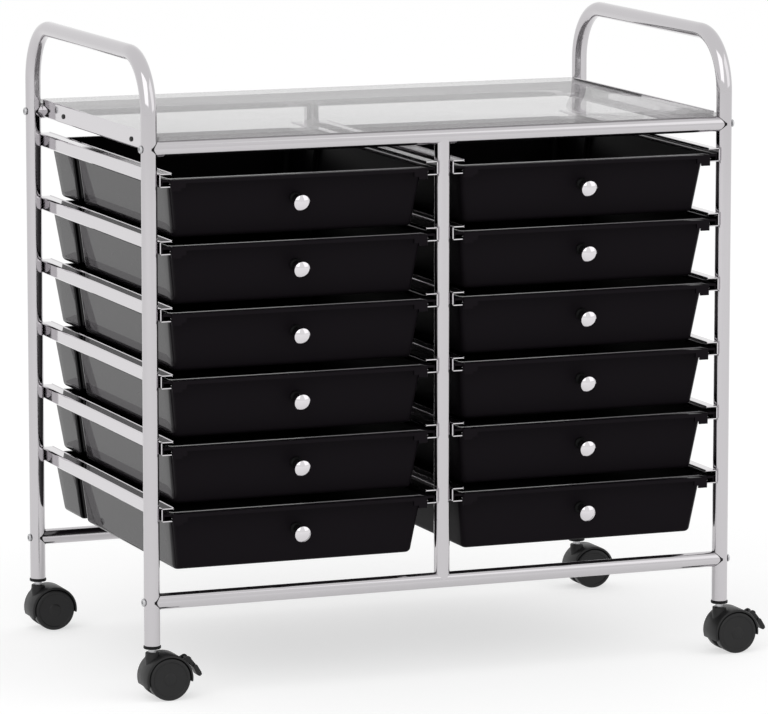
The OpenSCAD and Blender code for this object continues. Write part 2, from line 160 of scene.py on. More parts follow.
class Finish(Graph):
    """A material on one Principled shader: fixed values on its sockets, wires only for what varies."""

    def __init__(self, name, fixed):
        self.material = bpy.data.materials.new(name)
        self.material.use_nodes = True
        super().__init__(self.material.node_tree)
        self.shader = self.tree.nodes["Principled BSDF"]
        for key, value in fixed.items():
            self.shader.inputs[key].default_value = value

    def feed(self, socket, wire):
        self.put(wire, self.shader.inputs[socket])

    def noise(self, scale, stretch=(1, 1, 1), detail=2.0):
        """Noise over the piece's own coordinates, from 0 to 1, with about scale grains to the metre."""
        place = self.node("ShaderNodeTexCoord", out="Object")
        place = self.node("ShaderNodeMapping", {}, {"Vector": place, "Scale": stretch})
        return self.node("ShaderNodeTexNoise", {}, {"Vector": place, "Scale": scale, "Detail": detail})

    def bump(self, height, depth, strength):
        made = self.node("ShaderNodeBump", {}, {"Height": height, "Distance": depth, "Strength": strength})
        self.feed("Normal", made)


class Recipe(Graph):
    """A Geometry Nodes tree with named inputs, run once on an object to give a plain mesh."""

    def __init__(self, name, inputs):
        super().__init__(bpy.data.node_groups.new(name, "GeometryNodeTree"))
        self.keys = {}
        for label, kind in inputs.items():
            made = self.tree.interface.new_socket(label, in_out="INPUT", socket_type=kind)
            self.keys[label] = made.identifier
        self.tree.interface.new_socket("Geometry", in_out="OUTPUT", socket_type="NodeSocketGeometry")
        self.start = self.tree.nodes.new("NodeGroupInput")

    def given(self, label):
        return Wire(self, self.start.outputs[label])

    def end(self, geometry):
        geometry = self.node("GeometryNodeRealizeInstances", {}, {0: geometry})
        geometry = self.node("GeometryNodeSetMaterial", {}, {
            "Geometry": geometry, "Material": self.given("Finish")})
        stop = self.tree.nodes.new("NodeGroupOutput")
        self.put(geometry, stop.inputs[0])

    def run(self, source, values):
        modifier = source.modifiers.new("recipe", "NODES")
        modifier.node_group = self.tree
        for label, value in values.items():
            modifier[self.keys[label]] = value
        graph = bpy.context.evaluated_depsgraph_get()
        mesh = bpy.data.meshes.new_from_object(source.evaluated_get(graph), depsgraph=graph)
        bpy.data.objects.remove(source)
        return mesh


def tube_recipe():
    """A round bar swept along the object's own line of edges."""
    made = Recipe("tube along a line", {
        "Line": "NodeSocketGeometry", "Radius": "NodeSocketFloat",
        "Sides": "NodeSocketInt", "Finish": "NodeSocketMaterial"})
    line = made.node("GeometryNodeMeshToCurve", {}, {"Mesh": made.given("Line")})
    ring = made.node("GeometryNodeCurvePrimitiveCircle", {}, {
        "Resolution": made.given("Sides"), "Radius": made.given("Radius")})
    made.end(made.node("GeometryNodeCurveToMesh", {}, {
        "Curve": line, "Profile Curve": ring, "Fill Caps": True}))
    return made


def copies_recipe():
    """Copies of one piece at the object's own points, each turned about the upright by its "turn"."""
    made = Recipe("copies at points", {
        "Places": "NodeSocketGeometry", "Piece": "NodeSocketObject", "Finish": "NodeSocketMaterial"})
    piece = made.node("GeometryNodeObjectInfo", {}, {"Object": made.given("Piece")}, out="Geometry")
    turn = made.node("GeometryNodeInputNamedAttribute", {"data_type": "FLOAT"}, {"Name": "turn"})
    turn = made.node("ShaderNodeCombineXYZ", {}, {"Z": turn})
    made.end(made.node("GeometryNodeInstanceOnPoints", {}, {
        "Points": made.given("Places"), "Instance": piece, "Rotation": turn}))
    return made


# Mesh tools

def loft(rings, caps=True, wrap=False):
    """Skin over rings of points. Caps close both ends, and wrap joins the last ring to the first."""
    bm = bmesh.new()
    rows = [[bm.verts.new(point) for point in ring] for ring in rings]
    for near, far in zip(rows, rows[1:] + (rows[:1] if wrap else [])):
        for i in range(len(near)):
            j = (i + 1) % len(near)
            bm.faces.new((near[i], near[j], far[j], far[i]))
    if caps and not wrap:
        bm.faces.new(rows[0][::-1])
        bm.faces.new(rows[-1])
    bmesh.ops.remove_doubles(bm, verts=bm.verts, dist=0.002 * MM)
    bmesh.ops.recalc_face_normals(bm, faces=bm.faces)
    return bm


def turned(profile, sides, start=0.0, sweep=360.0):
    """A turned form: the profile's (radius, height) points, in mm, swept about +Z, by default all round."""
    count = sides if sweep == 360 else sides + 1
    angles = [math.radians(start + sweep * i / sides) for i in range(count)]
    lines = [[(r * MM * math.cos(a), r * MM * math.sin(a), h * MM) for r, h in profile] for a in angles]
    if sweep == 360:
        return loft([list(ring) for ring in zip(*lines)], caps=False)
    return loft(lines)


def prism(outline, low, high, axis="Y"):
    """An outline of (x, z) points in mm, or (x, y) points for axis Z, given its thickness along the axis."""
    if axis == "Y":
        return loft([[(x * MM, level * MM, z * MM) for x, z in outline] for level in (low, high)])
    return loft([[(x * MM, y * MM, level * MM) for x, y in outline] for level in (low, high)])


def soften(bm, width, segments, angle):
    """Rounds the edges that turn by more than the angle."""
    edges = [e for e in bm.edges if len(e.link_faces) == 2 and e.calc_face_angle() > math.radians(angle)]
    bmesh.ops.bevel(bm, geom=edges, offset=width * MM, segments=segments, profile=0.5,
                    affect="EDGES", clamp_overlap=True)
    return bm


def moved(bm, matrix):
    bmesh.ops.transform(bm, matrix=matrix, verts=bm.verts)
    return bm


def merged(*parts):
    """One bmesh that holds the given ones, which are used up."""
    whole = bmesh.new()
    for part in parts:
        mesh = bpy.data.meshes.new("part")
        part.to_mesh(mesh)
        part.free()
        whole.from_mesh(mesh)
        bpy.data.meshes.remove(mesh)
    return whole


def combined(operation, *parts):
    """The first form with the others joined to it or cut out of it; all are used up."""
    made = [loose_object("part", as_mesh("part", part)) for part in parts]
    for other in made[1:]:
        modifier = made[0].modifiers.new("combine", "BOOLEAN")
        modifier.operation = operation
        modifier.solver = "EXACT"
        modifier.object = other
    graph = bpy.context.evaluated_depsgraph_get()
    mesh = bpy.data.meshes.new_from_object(made[0].evaluated_get(graph), depsgraph=graph)
    for thing in made:
        bpy.data.objects.remove(thing)
    whole = bmesh.new()
    whole.from_mesh(mesh)
    bmesh.ops.remove_doubles(whole, verts=whole.verts, dist=0.01 * MM)
    return whole


def as_mesh(name, bm):
    mesh = bpy.data.meshes.new(name)
    bm.to_mesh(mesh)
    bm.free()
    return mesh


def loose_object(name, mesh):
    made = bpy.data.objects.new(name, mesh)
    bpy.context.collection.objects.link(made)
    return made


def piece(name, mesh, finish, body, slot, node):
    """Makes a mesh a finished piece that rides on a body and stands for a node of the frame."""
    mesh.materials.clear()
    mesh.materials.append(finish.material)
    mesh.shade_smooth()
    mesh.set_sharp_from_angle(angle=math.radians(SHARP_FROM))
    made = loose_object(name, mesh)
    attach(made, body)
    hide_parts(node)


def placed(mesh, matrix):
    """A copy of a mesh at a place of its own."""
    made = mesh.copy()
    made.transform(matrix)
    return made


def swept_tube(points, radius, finish, sides):
    """A tube along a line of points, made by the tube recipe."""
    mesh = bpy.data.meshes.new("line")
    mesh.from_pydata(points, [(i, i + 1) for i in range(len(points) - 1)], [])
    return TUBES.run(loose_object("line", mesh), {
        "Radius": radius, "Sides": sides, "Finish": finish.material})


def copied(bm, places, finish):
    """Copies of a form at (x, y, z, turn in degrees), made by the copies recipe."""
    mesh = bpy.data.meshes.new("places")
    mesh.from_pydata([place[:3] for place in places], [], [])
    turns = mesh.attributes.new("turn", "FLOAT", "POINT")
    for value, place in zip(turns.data, places):
        value.value = math.radians(place[3])
    pattern = loose_object("pattern", as_mesh("pattern", bm))
    made = COPIES.run(loose_object("places", mesh), {"Piece": pattern, "Finish": finish.material})
    bpy.data.objects.remove(pattern)
    return made


def arc(cx, cy, r, start, end, steps):
    """Points of a round stretch from one angle to another, in degrees."""
    angles = [math.radians(start + (end - start) * i / steps) for i in range(steps + 1)]
    return [(cx + r * math.cos(a), cy + r * math.sin(a)) for a in angles]


def rounded(points, radius, steps):
    """An outline with its corners rounded; each point may carry its own radius."""
    made = []
    count = len(points)
    for i in range(count):
        before, here, after = (Vector(points[(i + k) % count][:2]) for k in (-1, 0, 1))
        r = points[i][2] if len(points[i]) > 2 else radius
        to_before, to_after = (before - here).normalized(), (after - here).normalized()
        half = to_before.angle(to_after) / 2
        if r < 1e-9 or abs(half - math.pi / 2) < 1e-3:
            made.append(tuple(here))
            continue
        reach = min(r / math.tan(half), (before - here).length * 0.49, (after - here).length * 0.49)
        centre = here + (to_before + to_after).normalized() * (reach / math.cos(half))
        first = here + to_before * reach - centre
        last = here + to_after * reach - centre
        spokes = [first] + [first.slerp(last, k / steps) for k in range(1, steps)] + [last]
        made += [tuple(centre + spoke) for spoke in spokes]
    return made


# Finishes

def chrome(name, level, rough, stretch):
    """Bright plating: a slight haze that runs with the polishing, and almost no waviness."""
    made = Finish(name, {"Base Color": (level, level * 0.97, level, 1), "Metallic": 1.0})
    haze, waves = made.noise(90, stretch, 3.0), made.noise(35, stretch)
    made.feed("Roughness", haze * 0.05 + (rough - 0.02))
    made.bump(waves, 0.02 * MM, 0.4)
    return made


def zinc_steel():
    made = Finish("zinc steel", {"Base Color": (0.5, 0.5, 0.51, 1), "Metallic": 1.0})
    grain = made.noise(900, detail=3.0)
    made.feed("Roughness", grain * 0.2 + 0.25)
    made.bump(grain, 0.01 * MM, 0.5)
    return made


def gloss_plastic():
    """Black moulding with flow marks and dust; the mesh marks a painted sheen, a coat on some faces, and its
    outside, with painted shade making the inside darker.
    """
    # Painted shade: the inside of the tub takes a darker black than the outside, which keeps the plastic's
    # own black.
    painted_shade_black, outer_black = (0.0008, 0.0006, 0.0010, 1), (0.0078, 0.0064, 0.0080, 1)
    made = Finish("gloss black plastic", {"Specular IOR Level": 0.02, "Coat Roughness": 0.03})
    dust = made.noise(260, detail=4.0)
    flow = made.noise(28, (1, 1, 2.0))
    # Painted sheen: the coat's weight comes from the face marks, set on the rim's top and the outer and rear
    # walls.
    painted_sheen = made.node("ShaderNodeAttribute", {"attribute_name": "painted_sheen"}, out="Fac")
    outside = made.node("ShaderNodeAttribute", {"attribute_name": "outside"}, out="Fac")
    shade = made.node("ShaderNodeMix", {"data_type": "RGBA"}, {
        "Factor": outside, 6: painted_shade_black, 7: outer_black}, out=2)
    made.feed("Base Color", shade)
    made.feed("Roughness", dust ** 2 * 0.12 + 0.35)
    made.feed("Coat Weight", painted_sheen)
    made.bump(flow, 0.05 * MM, 0.25)
    return made


def moulded_plastic(name, level, rough, shine):
    """Black moulding with a fine spark-eroded grain."""
    made = Finish(name, {"Base Color": (level, level, level * 1.03, 1), "Specular IOR Level": shine})
    wear = made.noise(200, detail=3.0)
    made.feed("Roughness", wear * 0.15 + (rough - 0.07))
    made.bump(made.noise(1500), 0.03 * MM, 0.5)
    return made


def clear_sheet():
    """Clear sheet with a grey tint, see-through at each of its two faces."""
    made = Finish("clear sheet", {"Base Color": (0.44, 0.43, 0.44, 1), "Alpha": 0.45, "IOR": 1.49})
    made.feed("Roughness", made.noise(60, detail=3.0) * 0.02 + 0.01)
    return made


TUBES = tube_recipe()
COPIES = copies_recipe()
CHROME_TUBE = chrome("chrome tube", 0.54, 0.09, (1, 1, 1))
CHROME_SHEET = chrome("chrome sheet", 0.62, 0.06, (3, 0.3, 3))
CHROME_KNOB = chrome("chrome knob", 0.68, 0.07, (1, 1, 1))
ZINC = zinc_steel()
GLOSS = gloss_plastic()
CASTER_BLACK = moulded_plastic("caster black", 0.012, 0.42, 0.25)
FITTING_BLACK = moulded_plastic("fitting black", 0.006, 0.4, 0.12)
SCREW_BLACK = moulded_plastic("blackened screw", 0.01, 0.3, 0.4)
NECK_BLACK = moulded_plastic("knob neck black", 0.005, 0.45, 0.08)
CLEAR = clear_sheet()


# Tube frame

def side_frame(side):
    """One tube bent into two legs and a handle."""
    x = LEG_X[side]
    bend = arc(LEG_Y - BEND_R, HANDLE_Z - BEND_R, BEND_R, 0, 90, 18)
    half = [(LEG_Y, LEG_END)] + bend
    line = [(x, y, z) for y, z in half] + [(x, -y, z) for y, z in reversed(half)]
    name = "side_frame_" + SIDE_NAMES[side]
    tube = swept_tube(line, TUBE_R, CHROME_TUBE, 48)
    piece(name + "_tube", tube, CHROME_TUBE, "frame", "chrome_tube", name)


def coped_tube(point_at, reach_at):
    """A tube whose two ends follow a curve: reach_at gives the half length over a place on the round."""
    sides = 40
    rings = []
    for radius, ends in ((TUBE_R, SIDES), (TUBE_R - TUBE_WALL, SIDES[::-1])):
        for end in ends:
            ring = []
            for i in range(sides):
                a = 2 * math.pi * i / sides
                u, v = radius * math.cos(a), radius * math.sin(a)
                ring.append(point_at(u, v, end * reach_at(u, v)))
            rings.append(ring)
    return as_mesh("tube", loft(rings, wrap=True))


def cross_bar(name, end, height):
    """A bar between the legs, cut to the round of the saddles."""
    half = (LEG_X[1] - LEG_X[-1]) / 2

    def reach(u, v):
        return half - math.sqrt((TUBE_R + SADDLE) ** 2 - u * u)

    def point(u, v, along):
        return (MID_X + along, end * LEG_Y + u, height + v)

    piece(name + "_tube", coped_tube(point, reach), CHROME_TUBE, "frame", "chrome_tube", name)


def centre_post(end):
    """A post between the two cross bars, cut to their round."""
    middle, half = (TOP_BAR_Z + LOW_BAR_Z) / 2, (TOP_BAR_Z - LOW_BAR_Z) / 2

    def reach(u, v):
        return half - math.sqrt(max(TUBE_R ** 2 - v * v, 0)) + 0.1 * MM

    def point(u, v, along):
        return (MID_X + u, end * LEG_Y + v, middle + along)

    name = "centre_post_" + END_NAMES[end]
    piece(name + "_tube", coped_tube(point, reach), CHROME_TUBE, "frame", "chrome_tube", name)


def frame_bolts():
    """Low domed heads with a socket, one at each bar's end, on the outside of the legs."""
    shank, socket = [(0, -1), (3.9, -1)], [(1.6, 0.9), (0, 0.9)]
    head = [(2.6, 0), (4.0, 0)] + arc(2.6, 0.9, 1.4, 0, 70, 5) + [(1.7, 2.2)]
    bolt = moved(turned(shank + head + socket, 24), Matrix.Rotation(math.radians(90), 4, "Y"))
    places = [(LEG_X[s] + s * TUBE_R, e * LEG_Y, z, 0 if s > 0 else 180)
              for s in SIDES for e in SIDES for z in (TOP_BAR_Z, LOW_BAR_Z)]
    piece("frame_bolt_heads", copied(bolt, places, ZINC), ZINC, "frame", "zinc_steel", "frame_bolts")


def leg_sockets():
    """The flange under each leg."""
    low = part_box("leg_sockets")[0].z
    t, bore, r = (LEG_END - low) / MM, 4, 8.8
    flange = turned([(bore, 0), (r - 0.6, 0), (r, 0.6), (r, t - 0.5), (r - 0.5, t), (bore, t)], 40)
    places = [(LEG_X[s], e * LEG_Y, low, 0) for s in SIDES for e in SIDES]
    piece("leg_socket_flanges", copied(flange, places, FITTING_BLACK), FITTING_BLACK,
          "frame", "black_plastic", "leg_sockets")


# Rails and panel

def bent_sheet(outline, radius):
    """A sheet profile of (x, z) points in mm with rounded bends."""
    return rounded(outline, radius, 3)


def drawer_rails(side):
    """The twelve rails of one column, copied from one bent channel."""
    h, lip, hook, t = (v / MM for v in (RAIL_H, RAIL_LIP, RAIL_HOOK, SHEET_T))
    profile = bent_sheet([
        (0, 0, 1.3), (lip, 0, 0.8), (lip, hook, 0.2), (lip - t, hook, 0.2), (lip - t, t, 0.3), (t, t, 0.4),
        (t, h - t, 0.4), (lip, h - t, 0.2), (lip, h, 0.2), (0, h, 1.3)], 0.2)
    channel = prism(profile, RAIL_LO.y / MM, RAIL_HI.y / MM)
    name = "rails_%s_column" % SIDE_NAMES[side]
    lo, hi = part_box(name)
    places = [(x, 0, hi.z - RAIL_H - row * ROW_PITCH, turn)
              for row in range(ROWS) for x, turn in ((lo.x, 0), (hi.x, 180))]
    channels = copied(channel, places, CHROME_SHEET)
    piece(name + "_channels", channels, CHROME_SHEET, "frame", "chrome_tube", name)


def panel_rail(side):
    """The upright angle under one side of the panel."""
    name = "panel_rail_" + SIDE_NAMES[side]
    lo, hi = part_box(name)
    h, shelf, t = (hi.z - lo.z) / MM, (hi.x - lo.x) / MM, SHEET_T / MM
    angle = prism(bent_sheet([
        (0, 0, 1.3), (shelf, 0), (shelf, t), (t, t, 0.4), (t, h), (0, h)], 0.3), lo.y / MM, hi.y / MM)
    at = Matrix.Translation((lo.x, 0, lo.z))
    if side > 0:
        at = Matrix.Translation((hi.x, 0, lo.z)) @ Matrix.Rotation(math.pi, 4, "Z")
    angle = as_mesh(name, moved(angle, at))
    piece(name + "_angle", angle, CHROME_SHEET, "frame", "chrome_tube", name)


def top_panel():
    """The clear sheet with eased edges, and the lugs that take its screws."""
    x0, x1 = PANEL_LO.x / MM, PANEL_HI.x / MM
    y0, y1 = PANEL_LO.y / MM, PANEL_HI.y / MM
    top = PANEL_HI.z / MM
    low = top - PANEL_T / MM
    outline = rounded([(x0, y0), (x1, y0), (x1, y1), (x0, y1)], 1.5, 4)
    sheet = soften(prism(outline, low, top, "Z"), 0.5, 2, 50)
    half_w, half_l, inset = 3.5, 7, 3.6
    lugs = []
    for x in (x0 + inset, x1 - inset):
        for y in (-SCREW_Y / MM, SCREW_Y / MM):
            lug = [(x - half_w, y - half_l), (x + half_w, y - half_l),
                   (x + half_w, y + half_l), (x - half_w, y + half_l)]
            lug = prism(rounded(lug, 1, 2), PANEL_LO.z / MM, low - 0.01, "Z")
            lugs.append(soften(lug, 0.3, 1, 50))
    panel = as_mesh("panel", merged(sheet, *lugs))
    piece("top_panel_sheet", panel, CLEAR, "frame", "clear_panel", "top_panel")


def panel_screws():
    """Pan heads with a cross recess, on the outside of the panel rails."""
    arm, half = 1.6, 0.35
    cross = []
    for k in range(4):
        a = math.radians(90 * k)
        for u, v in ((arm, -half), (arm, half), (half, half)):
            cross.append((u * math.cos(a) - v * math.sin(a), u * math.sin(a) + v * math.cos(a)))
    head = turned([(0, -0.5), (2.6, -0.5), (2.6, 0)] + arc(1.5, 0.5, 1.1, 0, 90, 4) + [(0, 1.6)], 24)
    screw = combined("DIFFERENCE", head, prism(cross, 0.6, 3, "Z"))
    screw = moved(screw, Matrix.Rotation(math.radians(90), 4, "Y"))
    z = sum(corner.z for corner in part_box("panel_screws")) / 2
    places = []
    for s in SIDES:
        lo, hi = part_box("panel_rail_" + SIDE_NAMES[s])
        x = lo.x if s < 0 else hi.x
        places += [(x, e * SCREW_Y, z, 180 if s < 0 else 0) for e in SIDES]
    heads = copied(screw, places, SCREW_BLACK)
    piece("panel_screw_heads", heads, SCREW_BLACK, "frame", "black_steel", "panel_screws")


# Drawers

class Station:
    """One place round the drawer: its point on the tub, and the rim's outer and inner edge beside it."""

    def __init__(self, tub, outer, inner, drop):
        self.tub = tub
        self.outer = outer
        self.inner = inner
        self.drop = drop


def tub_point(place, depth, shrink):
    """A point of the tub's outline, half of it: the wall leans in with depth, and shrink moves it inward."""
    half = TUB_HALF / MM - SIDE_LEAN / DRAWER_H * depth - shrink
    front = TUB_FRONT / MM + FRONT_LEAN / DRAWER_H * depth + shrink
    rear = TUB_REAR / MM - REAR_LEAN / DRAWER_H * depth - shrink
    front_r, rear_r = max(6 - shrink, 1.5), max(8 - shrink, 1.5)
    kind, value = place[:2]
    if kind == "front":
        return (value * (half - front_r), front)
    if kind == "front corner":
        a = math.radians(value)
        return (half - front_r + front_r * math.sin(a), front + front_r - front_r * math.cos(a))
    if kind == "side":
        inset, grow = place[2:]
        return (half - inset, value + grow * shrink)
    a = math.radians(value)
    if kind == "rear corner":
        return (half - rear_r + rear_r * math.cos(a), rear - rear_r + rear_r * math.sin(a))
    return (value * (half - rear_r), rear)


def drawer_stations():
    """The right half of the way round a drawer, from the middle of the front to the middle of the rear."""
    front, rear = DRAWER_LO.y / MM, DRAWER_HI.y / MM
    rim, runner = RIM_HALF / MM, RUNNER_HALF / MM
    plate, skirt = front + 2.3, SKIRT / MM
    flat, lip, ear, tab = RIM_T / MM, 3.6, 8.3, 11
    tab_x, ear_x = rim - 9.8, rim - 14.8
    steps = [(0, 0, lip), (0.7, 84, lip), (0.92, 112, lip), (0.96, ear_x, lip), (0.96, ear_x, ear),
             (1, tab_x, ear), (1, tab_x, tab), (1, rim - 1, tab)]
    made = [Station(("front", share), (x, front), (x, plate), drop) for share, x, drop in steps]
    corner = [((rim, front + 1), (rim, plate), tab), ((rim, plate), (rim, plate), tab),
              ((rim, plate), (rim, plate), flat), ((rim, front + 3.7), (rim, front + 3.7), flat),
              ((runner - 1, front + 3.7), (runner - 2, front + 3.7), flat),
              ((runner, front + 4.7), (runner - 2, front + 4.7), flat),
              ((runner, front + 4.7), (runner - 2, front + 4.7), skirt)]
    for i, (outer, inner, drop) in enumerate(corner):
        made.append(Station(("front corner", 90 * (i + 1) / len(corner)), outer, inner, drop))
    fore, aft, deep, ease, beside = 101, 121, 5.5, 1.4, 4
    wall_start, wall_end = -158, 166
    groove = [(fore - beside, 0, -1), (fore - ease, 0, -1), (fore, ease, -1), (fore, deep - ease, -1),
              (fore + ease, deep, -1), (aft - ease, deep, 1), (aft, deep - ease, 1), (aft, ease, 1),
              (aft + ease, 0, 1), (aft + beside, 0, 1)]
    for y, inset, grow in [(wall_start, 0, 0)] + groove + [(wall_end, 0, 0)]:
        made.append(Station(("side", y, inset, grow), (runner, y), (runner - 2, y), skirt))
    end, rear_r = 186.5, 8
    rear_path = [((runner, end), (runner - 2, end), skirt), ((runner, end), (runner - 2, end), flat),
                 ((runner - 0.9, end + 2.1), None, flat), ((runner - 3, end + 3), None, flat),
                 ((rim, end + 3), None, flat), ((rim, rear - rear_r), None, flat)]
    rear_path += [(point, None, flat) for point in arc(rim - rear_r, rear - rear_r, rear_r, 22.5, 90, 3)]
    for i, (outer, inner, drop) in enumerate(rear_path):
        made.append(Station(("rear corner", 90 * i / (len(rear_path) - 1)), outer, inner or outer, drop))
    made.append(Station(("rear", 0.5), (rim / 2, rear), (rim / 2, rear), flat))
    made.append(Station(("rear", 0), (0, rear), (0, rear), flat))
    return made


def drawer_mesh(side):
    """A drawer of one column about its middle, with the top of its rim at height 0."""
    stations = drawer_stations()
    height, wall, flat = DRAWER_H / MM, WALL / MM, RIM_T / MM

    def ring(point_of):
        right = [point_of(s) for s in stations]
        left = [(-x, y, z) for x, y, z in reversed(right[1:-1])]
        return [(x * MM, y * MM, z * MM) for x, y, z in right + left]

    def tub_ring(depth, shrink, z=None):
        return ring(lambda s: (*tub_point(s.tub, depth, shrink), -depth if z is None else z))

    def foot(depth, shrink, ball):
        """Rings of the round between a wall and the floor, from the floor up."""
        made = []
        for angle in (90, 76, 62, 48, 34, 20, 8):
            a = math.radians(angle)
            made.append(tub_ring(depth - ball + ball * math.sin(a), shrink + ball * (1 - math.cos(a))))
        return made

    rings = foot(height, 0, 4)
    rings.append(tub_ring(height - 5, 0))
    rings.append(tub_ring(flat + 1.5, 0))
    rings.append(tub_ring(flat + 0.3, 0))
    rings.append(tub_ring(flat, -0.3, -flat))
    rings.append(ring(lambda s: (*s.inner, -flat)))
    rings.append(ring(lambda s: (*s.inner, -s.drop)))
    rings.append(ring(lambda s: (*s.outer, -s.drop)))
    rings.append(ring(lambda s: (*s.outer, 0)))
    rings.append(tub_ring(0, wall - 0.8, 0))
    rings.append(tub_ring(0.25, wall - 0.25))
    rings.append(tub_ring(0.8, wall))
    rings += foot(height - wall, wall, 2.5)[::-1]
    mesh = as_mesh("drawer", soften(loft(rings), 0.55, 2, 42))
    mark_faces(mesh, side)
    return mesh


def mark_faces(mesh, side):
    """Marks a drawer's outside, leaving its inward faces and inner floor for painted shade, and marks a
    painted sheen, a coat on its rim's top, its back and its outer side wall.
    """
    for name in ("painted_sheen", "outside"):
        mesh.attributes.new(name, "FLOAT", "FACE")
    painted_sheen, outside = mesh.attributes["painted_sheen"].data, mesh.attributes["outside"].data
    for i, face in enumerate(mesh.polygons):
        place, normal = face.center, face.normal
        across = math.copysign(normal.x, normal.x * place.x)
        along = math.copysign(normal.y, normal.y * place.y)
        faces_in = min(across, along) < -0.3
        faces_up = normal.z > 0.5
        # Inward faces and the inner floor get 0, so they take the painted shade.
        outside[i].value = 0 if faces_in or (faces_up and place.z < -RIM_T) else 1
        # Painted sheen: the rim's top gets a coat, and so do the walls as far as they face outward or
        # rearward.
        outward = max(across if place.x * side > 0 else 0, along if place.y > 0 else 0)
        if faces_up and place.z > -0.3 * MM:
            painted_sheen[i].value = RIM_PAINTED_SHEEN
        elif place.z < -RIM_T - 0.2 * MM and place.y > TUB_FRONT:
            painted_sheen[i].value = min(max(outward * 1.5 - 0.4, 0), 1) * WALL_PAINTED_SHEEN


def knob_meshes():
    """The chrome cap, the black neck with its foot, and the screw, with +Z away from the drawer's wall."""
    reach, cap_h, cap_r = KNOB_REACH / MM, 8.2, 8.2
    base = reach - cap_h
    dome_h = 3
    dome_r = (cap_r ** 2 + dome_h ** 2) / (2 * dome_h)
    rise = math.degrees(math.acos(cap_r / dome_r))
    cap = [(0, base + 3), (3.05, base + 3), (3.05, base + 0.1), (6.2, base + 0.1), (7.4, base + 0.5)]
    cap += arc(cap_r - 0.8, base + 1.5, 0.8, -60, 0, 3)
    cap += arc(0, reach - dome_r, dome_r, rise, 90, 14)
    neck = [(1.85, 0), (6, 0), (6, 1.7), (5.5, 2.4), (4.4, 3.0), (4, 3.8), (4, base - 1), (4.6, base),
            (3, base), (3, base + 2.8), (0, base + 2.8)]
    wall = WALL / MM * math.cos(KNOB_TILT)
    screw = [(0, -wall - 1.2), (1.2, -wall - 1.2), (1.4, -wall - 2.2), (2.6, -wall - 2.1), (3.4, -wall - 1.3),
             (3.75, -wall - 0.4), (3.75, -wall), (1.8, -wall), (1.8, 1), (0, 1)]
    return [as_mesh("knob", turned(profile, 40)) for profile in (cap, neck, screw)]


def drawers_and_knobs():
    """Twelve drawers, each with its knob, from one drawer for each column and one knob."""
    cap, neck, screw = knob_meshes()
    for s in SIDES:
        tub = drawer_mesh(s)
        for row in range(1, ROWS + 1):
            number = "%s_%d" % (SIDE_NAMES[s], row)
            body = "%s_drawer_%d" % (SIDE_NAMES[s], row)
            lo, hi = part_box("drawer_" + number)
            middle = (lo.x + hi.x) / 2
            at = Matrix.Translation((middle, 0, hi.z))
            tray = placed(tub, at)
            piece("drawer_%s_tray" % number, tray, GLOSS, body, "gloss_drawer", "drawer_" + number)
            y = TUB_FRONT + FRONT_LEAN / DRAWER_H * KNOB_DROP
            at = Matrix.Translation((middle, y, hi.z - KNOB_DROP))
            at = at @ Matrix.Rotation(math.radians(90) + KNOB_TILT, 4, "X")
            node = "knob_" + number
            piece(node + "_cap", placed(cap, at), CHROME_KNOB, body, "chrome_knob", node)
            piece(node + "_neck", placed(neck, at), NECK_BLACK, body, "black_plastic", node)
            piece(node + "_screw", placed(screw, at), ZINC, body, "zinc_steel", node)


# Casters

def wheel_mesh():
    """One wheel with +Z to its outer face: a rounded tread, a shallow dished face and a hub."""
    r, w, bore = WHEEL_R / MM, WHEEL_W / MM, 3.06
    profile = [(bore, 0), (r - 2.5, 0)] + arc(r - 1.2, 1.2, 1.2, -90, 0, 3)
    profile += arc(r - 2.4, w - 2.4, 2.4, 0, 90, 5)
    profile += [(r - 3.6, w), (r - 4.3, w - 0.7), (9, w - 0.9), (6.5, w - 0.9), (6.2, w - 0.6)]
    profile += [(5.2, w - 0.2), (0, w - 0.2), (0, w - 1.9), (bore, w - 1.9)]
    return as_mesh("wheel", turned(profile, 64))


def housing_mesh(braked):
    """A caster's hood, its web between the wheels, and the neck round the stem, about the axle."""
    half, web_half = WHEEL_OUT / MM - 0.5, WHEEL_IN / MM - 0.4
    r, r_in = HOOD_R / MM, HOOD_IN / MM
    hood_from, hood_to = -8, 198
    profile = [(r_in, -half), (r - 1.6, -half), (r - 0.5, -half + 0.5), (r, -half + 1.6),
               (r, half - 1.6), (r - 0.5, half - 0.5), (r - 1.6, half), (r_in, half)]
    shell = turned(profile, 44, hood_from, hood_to - hood_from)
    shell = moved(shell, Matrix.Rotation(math.radians(90), 4, "X"))
    web = arc(0, 0, r - 0.6, hood_from, hood_to, 40) + arc(0, 0, 6.5, 230, 310, 8)
    web = prism(web, -web_half, web_half)
    neck_top = 26.1
    neck = turned([(0, 6), (6.4, 6), (7.2, 17.5), (7.6, 20.5), (7.1, 22.5), (7, neck_top - 0.6),
                   (6.4, neck_top), (0, neck_top)], 40)
    neck = moved(neck, Matrix.Translation((-TRAIL, 0, 0)))
    parts = [shell, web, neck]
    if braked:
        ear_in, ear_out = 4.55, 6.95
        ear = arc(*pin_place(), 3.4, -60, 130, 8) + [(15.0, 17.5), (19.5, 12.0)]
        for low, high in ((-ear_out, -ear_in), (ear_in, ear_out)):
            parts.append(soften(prism(ear, low, high), 0.3, 1, 50))
    return as_mesh("housing", combined("UNION", *parts))


def pin_place():
    """The brake lever's pin, about the axle, in mm."""
    return 27.7 * math.cos(math.radians(38)), 27.7 * math.sin(math.radians(38))


